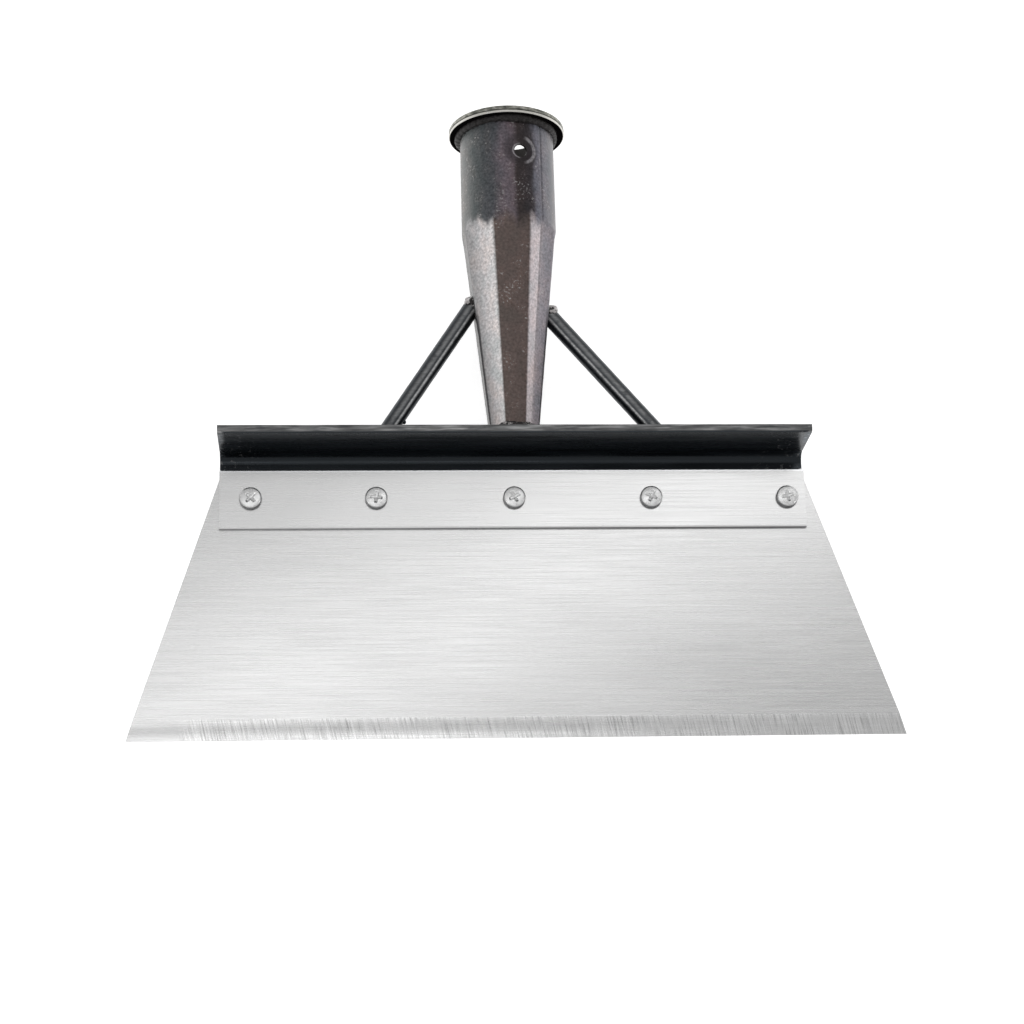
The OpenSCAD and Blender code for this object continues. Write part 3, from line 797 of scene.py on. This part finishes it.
def fillet_bead(edge, outwards, rise, size, ripples, seed):
    """A corner bead: from each point of a closed edge, a quarter circle goes from outwards to
    rise, and its radius follows the bead's swelling."""
    angle = np.linspace(0, 2 * np.pi, len(edge), endpoint=False)
    reach = (size * bead_swell(angle, ripples, seed))[None, :, None]
    quarter = np.linspace(0, np.pi / 2, 9)[:, None, None]
    crown = 1 + 0.10 * np.sin(2 * quarter)
    skin = edge + reach * crown * (np.cos(quarter) * outwards + np.sin(quarter) * rise)
    return np.concatenate([edge[None], skin, edge[None]])


round_about = np.linspace(0, 2 * np.pi, 240, endpoint=False)
axis_out = np.stack([np.sin(round_about), 0 * round_about, np.cos(round_about)], -1)
towards_mouth = np.array([0.0, 1.0, 0.0])

foot_radius = socket_radius(round_about, 0.0 * round_about)
foot_edge = axis_out * foot_radius[:, None] + np.array([0, foot_y, socket_axis_z])
foot_bead = fillet_bead(foot_edge, axis_out, towards_mouth, foot_weld_size, foot_ripples, 1.7)
welded_piece("socket_foot_bead", [(foot_bead, True)], ["socket_weld"],
             weld_metal("foot_weld_scale", 0.56), sharp=60.0)

ring_edge = axis_out * round_radius + np.array([0, ring_back, socket_axis_z])
ring_bead = fillet_bead(ring_edge, axis_out, -towards_mouth, ring_weld_size, ring_ripples, 0.4)
welded_piece("ring_bead", [(ring_bead, True)], ["ring_weld"],
             weld_metal("ring_weld_scale", 0.78), sharp=60.0)


# ---- Braces ------------------------------------------------------------------------------------
# Two lengths of round bar from the sides of the socket to the back of the angle, painted black,
# with painted highlights along their upper side.
# They are cut square, and a blob of weld at the top and a collar at the foot hold each one.
blob_length, blob_radius, blob_back = 0.0030, 0.0042, 0.0002
collar_size = 0.0018
drop_place, drop_radius = 0.85, 0.0009

brace_low, brace_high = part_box("left_brace")
brace_radius = (brace_high.z - brace_low.z) / 2
feet, tops = {}, {}
for side in ("left", "right"):
    foot_weld_low, foot_weld_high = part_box(f"{side}_brace_foot_weld")
    feet[side] = (foot_weld_low.x + foot_weld_high.x) / 2
    tops[side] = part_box(f"{side}_brace_top_weld")[0].y - foot_y


def brace_painted_highlights(tree, place):
    """Painted highlights: lines along the bar's upper side, broken up a little."""
    mark = add_node(tree, "Attribute", attribute_name="mark").outputs["Fac"]
    painted_highlight_shape = grain(tree, place, (0.003, 0.003, 0.003), detail=4.0)
    return maths(tree, "MULTIPLY", mark, span(tree, painted_highlight_shape, 0.25, 0.55, 0.45, 1.0))


# On the bars these light tones are painted highlights.
brace_paint = black_paint("brace_black_paint", brace_painted_highlights, (0.45, 0.65, 0.85))


def brace_line(side):
    """The brace's top and foot on its axis, the way from top to foot, and the way across it."""
    sign = -1 if side == "left" else 1
    half = (foot_across + (top_across - foot_across) * tops[side] / flats_length) / 2
    top = np.array([sign * half, foot_y + tops[side], socket_axis_z])
    foot = np.array([feet[side], foot_y, socket_axis_z])
    way = (foot - top) / np.linalg.norm(foot - top)
    return top, foot, way, np.cross(way, [0, 0, 1.0])


def brace_grid(side):
    """Rings of points along the bar. At the top each line of the bar starts at the square end or
    at the socket's flat, and at the foot it stops at the back of the angle. With them go marks
    for a broad and a narrow painted highlight on the upper side."""
    top, foot, way, across = brace_line(side)
    sign = -1 if side == "left" else 1
    slope = (top_across - foot_across) / 2 / flats_length
    flat_normal = np.array([sign, -slope, 0]) / math.hypot(1, slope)
    turn = np.linspace(0, 2 * np.pi, 72, endpoint=False)
    offset = brace_radius * (np.cos(turn)[:, None] * across + np.sin(turn)[:, None] * [0, 0, 1.0])
    start = np.maximum(0, -(offset @ flat_normal) / (way @ flat_normal))
    stop = (foot_y - top[1] - offset[:, 1]) / way[1]
    share = np.linspace(0, 1, 70)[:, None]
    run = start * (1 - share) + stop * share
    dent = 1 + 0.006 * np.sin(run * 900 + 2 * turn) * np.sin(run * 310)
    bar = top + run[..., None] * way + offset * dent[..., None]
    end = [np.repeat(p[None, None], len(turn), axis=1) for p in (top, foot)]
    grid = np.concatenate([end[0], bar, end[1]])
    above = np.maximum(np.sin(turn), 0)
    broad = 0.34 * np.exp(-((sign * np.cos(turn) + 0.08) / 0.26) ** 2)
    narrow = 1.00 * np.exp(-((sign * np.cos(turn) - 0.50) / 0.10) ** 2)
    return grid, (broad + narrow) * above + 0 * grid[..., 0]


def spatter_grid(side, along, size):
    """A drop of weld metal stuck on the bar's outer side: a ball pressed half into it."""
    top, foot, way, across = brace_line(side)
    turn = np.linspace(0, 2 * np.pi, 16, endpoint=False)
    share = np.linspace(0, np.pi, 9)[:, None]
    outer = -across if side == "left" else across
    centre = top + along * (foot - top) + 0.97 * brace_radius * outer
    ball = (np.sin(share)[..., None] * (np.cos(turn)[:, None] * way + np.sin(turn)[:, None] * [0, 0, 1.0])
            + (np.cos(share) + 0 * turn)[..., None] * outer)
    return centre + size * ball


def blob_grid(side, seed):
    """A lump round the bar's top end: a rounded bulb along the bar's axis with waves on it."""
    top, _, way, across = brace_line(side)
    turn = np.linspace(0, 2 * np.pi, 56, endpoint=False)
    share = np.linspace(0, np.pi, 34)[:, None]
    length = -blob_back - blob_length * np.cos(share)
    waves = 1 + 0.09 * np.sin(3 * turn + 2 * share + seed) + 0.06 * np.sin(5 * turn - 4 * share)
    radius = blob_radius * np.sin(share) ** 0.6 * waves
    rim = radius[..., None] * (np.cos(turn)[:, None] * across + np.sin(turn)[:, None] * [0, 0, 1.0])
    return top + rim + (length + 0 * turn)[..., None] * way


blob_metal, collar_metal = weld_metal("chipped_weld", 0.42), weld_metal("collar_weld_scale", 0.58)
for side, seed in (("left", 0.6), ("right", 2.3)):
    bar, painted_highlight_marks = brace_grid(side)
    grids, marks = [(bar, True)], [painted_highlight_marks]
    if side == "left":
        drop = spatter_grid(side, drop_place, drop_radius)
        grids.append((drop, True))
        marks.append(0 * drop[..., 0])
    welded_piece(f"{side}_brace_bar", grids, [f"{side}_brace"], brace_paint,
                 sharp=40.0, marks=marks)
    welded_piece(f"{side}_brace_top_blob", [(blob_grid(side, seed), True)], [f"{side}_brace_top_weld"],
                 blob_metal, sharp=60.0)
    top, foot, way, _ = brace_line(side)
    stretch = 1 / abs(way[1])
    oval = np.stack([stretch * np.cos(round_about), 0 * round_about, np.sin(round_about)], -1)
    outwards = np.stack([np.cos(round_about) / stretch, 0 * round_about, np.sin(round_about)], -1)
    outwards /= np.linalg.norm(outwards, axis=1, keepdims=True)
    collar = fillet_bead(foot + brace_radius * oval, outwards, towards_mouth, collar_size, collar_ripples,
                         seed)
    welded_piece(f"{side}_brace_foot_collar", [(collar, True)], [f"{side}_brace_foot_weld"],
                 collar_metal, sharp=60.0)


# ---- Floor and light ---------------------------------------------------------------------------
# A pale matt floor that glows a little, under a sky that is brightest low down. One long soft
# box hangs over the blade at a slant, a second lights the bevel, and two small lamps the bars.
floor_half = 4.0

floor_mesh = bpy.data.meshes.new("floor")
corners = [(-floor_half, -floor_half, 0), (floor_half, -floor_half, 0),
           (floor_half, floor_half, 0), (-floor_half, floor_half, 0)]
floor_mesh.from_pydata(corners, [], [(0, 1, 2, 3)])
floor = bpy.data.objects.new("floor", floor_mesh)
scene.collection.objects.link(floor)
material, tree, shader, place = new_finish("pale_floor", Roughness=0.9, Specular_IOR_Level=0.1)
dapple = grain(tree, place, (0.3, 0.3, 1), detail=2.0)
tree.links.new(tones(tree, dapple, [(0.3, 0.88), (0.7, 0.92)]), shader.inputs["Base Color"])
shader.inputs["Emission Color"].default_value = (1, 1, 1, 1)
shader.inputs["Emission Strength"].default_value = 0.72
floor_mesh.materials.append(material)

world = bpy.data.worlds.new("studio")
scene.world = world
world.use_nodes = True
tree = world.node_tree
tree.nodes["Background"].inputs["Color"].default_value = (1, 1, 1, 1)
direction = add_node(tree, "TexCoord").outputs["Generated"]
height = add_node(tree, "SeparateXYZ", {0: direction}).outputs["Z"]
tree.links.new(span(tree, height, 0.10, 0.50, 1.0, 0.52), tree.nodes["Background"].inputs["Strength"])


def soft_box(name, place, target, width, height, watts, twist=0.0):
    """A rectangular area light that faces a point, twisted about the way it faces."""
    data = bpy.data.lights.new(name, "AREA")
    data.shape = "RECTANGLE"
    data.size, data.size_y, data.energy = width, height, watts
    lamp = bpy.data.objects.new(name, data)
    facing = (Vector(target) - Vector(place)).to_track_quat("-Z", "Y").to_matrix().to_4x4()
    lamp.matrix_world = Matrix.Translation(place) @ facing @ Matrix.Rotation(twist, 4, "Z")
    scene.collection.objects.link(lamp)


soft_box("long_strip", (0.15, 0.50, 2.0), (0.15, 0.4999, 0), 2.4, 0.25, 2.7, math.radians(32))
soft_box("edge_light", (-0.12, -0.50, 2.0), (-0.12, -0.5001, 0), 0.6, 0.35, 1.0)
soft_box("right_lamp", (1.05, -0.25, 1.10), (0, 0, 0), 0.15, 0.15, 0.8)
soft_box("left_lamp", (-1.00, -0.40, 1.20), (0, 0, 0), 0.15, 0.15, 0.8)
